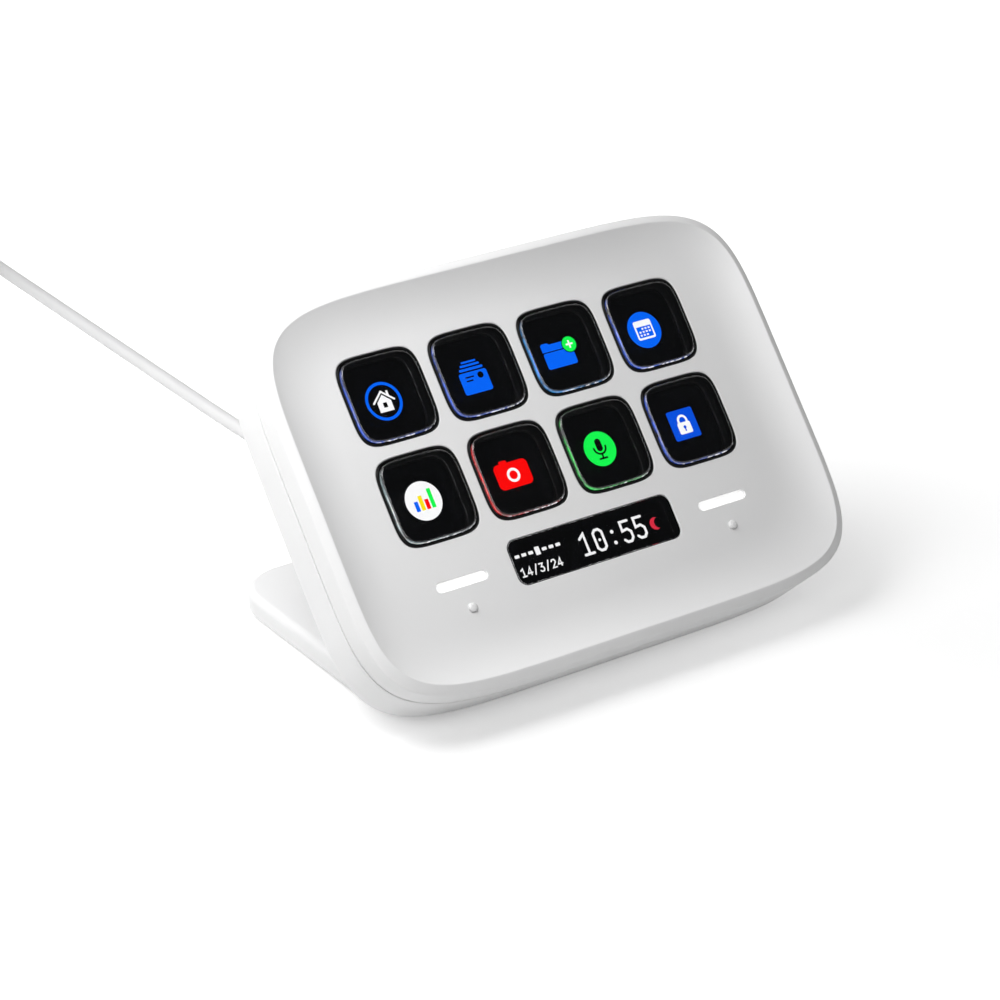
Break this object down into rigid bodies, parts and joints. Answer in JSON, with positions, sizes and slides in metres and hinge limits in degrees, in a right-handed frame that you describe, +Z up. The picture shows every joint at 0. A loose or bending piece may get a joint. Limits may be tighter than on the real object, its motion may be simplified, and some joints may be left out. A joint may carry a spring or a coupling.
{
  "type": "desk macro keypad",
  "caption": "Tilted desk keypad with clear push keys over a dark display, a clock strip, light bars and touch dots, on a fixed weighted stand with a captive USB cable.",
  "frame": {"origin": "middle of the keypad's box on the desk, measured without its cable, at the rubber foot's underside", "axes": "+X to the user's right along the panel, +Y away from the user, +Z up"},
  "size_m": [0.1078, 0.2978, 0.0679],
  "materials": {
    "casing_white": "fine satin, off-white",
    "window_black": "polished smoked lens over a lit clock",
    "light_diffuser": "milky light guide, lit white",
    "key_clear_black": "polished clear cap over a dark display",
    "flex_film": "amber film",
    "silicone": "matte",
    "foam_black": "matte foam",
    "display_glass": "polished",
    "tray_metal": "plain sheet",
    "carrier_grey": "moulded",
    "board_green": "solder mask",
    "chip_black": "moulded",
    "connector_ivory": "moulded",
    "wire_red": "insulation",
    "screw_steel": "zinc plated",
    "weight_steel": "plain plate",
    "foot_rubber": "matte, finely ribbed",
    "cable_white": "satin jacket",
    "tie_grey": "soft strap",
    "plug_white": "moulded grip",
    "plug_metal": "nickel plated"
  },
  "bodies": {
    "base": {"front_bezel": "casing_white", "info_window": "window_black", "light_bar_left": "light_diffuser", "light_bar_right": "light_diffuser", "touch_sensor": "flex_film", "key_mat": "silicone", "lcd_panel": "display_glass", "lcd_backlight": "tray_metal", "lcd_flex": "flex_film", "display_carrier": "carrier_grey", "foam_pad": "foam_black", "main_board": "board_green", "processor": "chip_black", "memory_chip": "chip_black", "lcd_connector": "connector_ivory", "cable_connector": "connector_ivory", "cable_leads": "wire_red", "carrier_screws": "screw_steel", "rear_shell": "casing_white", "shell_screws": "screw_steel", "stand": "casing_white", "stand_screws": "screw_steel", "stand_weight": "weight_steel", "foot_pad": "foot_rubber", "cable_relief": "cable_white", "usb_cable": "cable_white", "cable_coil": "cable_white", "cable_tie": "tie_grey", "plug_lead": "cable_white", "plug_body": "plug_white", "plug_shell": "plug_metal"},
    "key_1": {"key_1": "key_clear_black"},
    "key_2": {"key_2": "key_clear_black"},
    "key_3": {"key_3": "key_clear_black"},
    "key_4": {"key_4": "key_clear_black"},
    "key_5": {"key_5": "key_clear_black"},
    "key_6": {"key_6": "key_clear_black"},
    "key_7": {"key_7": "key_clear_black"},
    "key_8": {"key_8": "key_clear_black"}
  },
  "joints": [
    {"name": "key_1_press", "type": "slide", "parent": "base", "child": "key_1", "axis": [0, 0.7604, -0.6494], "range_m": [0, 0.001], "stiffness_N_per_m": 600},
    {"name": "key_2_press", "type": "slide", "parent": "base", "child": "key_2", "axis": [0, 0.7604, -0.6494], "range_m": [0, 0.001], "stiffness_N_per_m": 600},
    {"name": "key_3_press", "type": "slide", "parent": "base", "child": "key_3", "axis": [0, 0.7604, -0.6494], "range_m": [0, 0.001], "stiffness_N_per_m": 600},
    {"name": "key_4_press", "type": "slide", "parent": "base", "child": "key_4", "axis": [0, 0.7604, -0.6494], "range_m": [0, 0.001], "stiffness_N_per_m": 600},
    {"name": "key_5_press", "type": "slide", "parent": "base", "child": "key_5", "axis": [0, 0.7604, -0.6494], "range_m": [0, 0.001], "stiffness_N_per_m": 600},
    {"name": "key_6_press", "type": "slide", "parent": "base", "child": "key_6", "axis": [0, 0.7604, -0.6494], "range_m": [0, 0.001], "stiffness_N_per_m": 600},
    {"name": "key_7_press", "type": "slide", "parent": "base", "child": "key_7", "axis": [0, 0.7604, -0.6494], "range_m": [0, 0.001], "stiffness_N_per_m": 600},
    {"name": "key_8_press", "type": "slide", "parent": "base", "child": "key_8", "axis": [0, 0.7604, -0.6494], "range_m": [0, 0.001], "stiffness_N_per_m": 600}
  ]
}
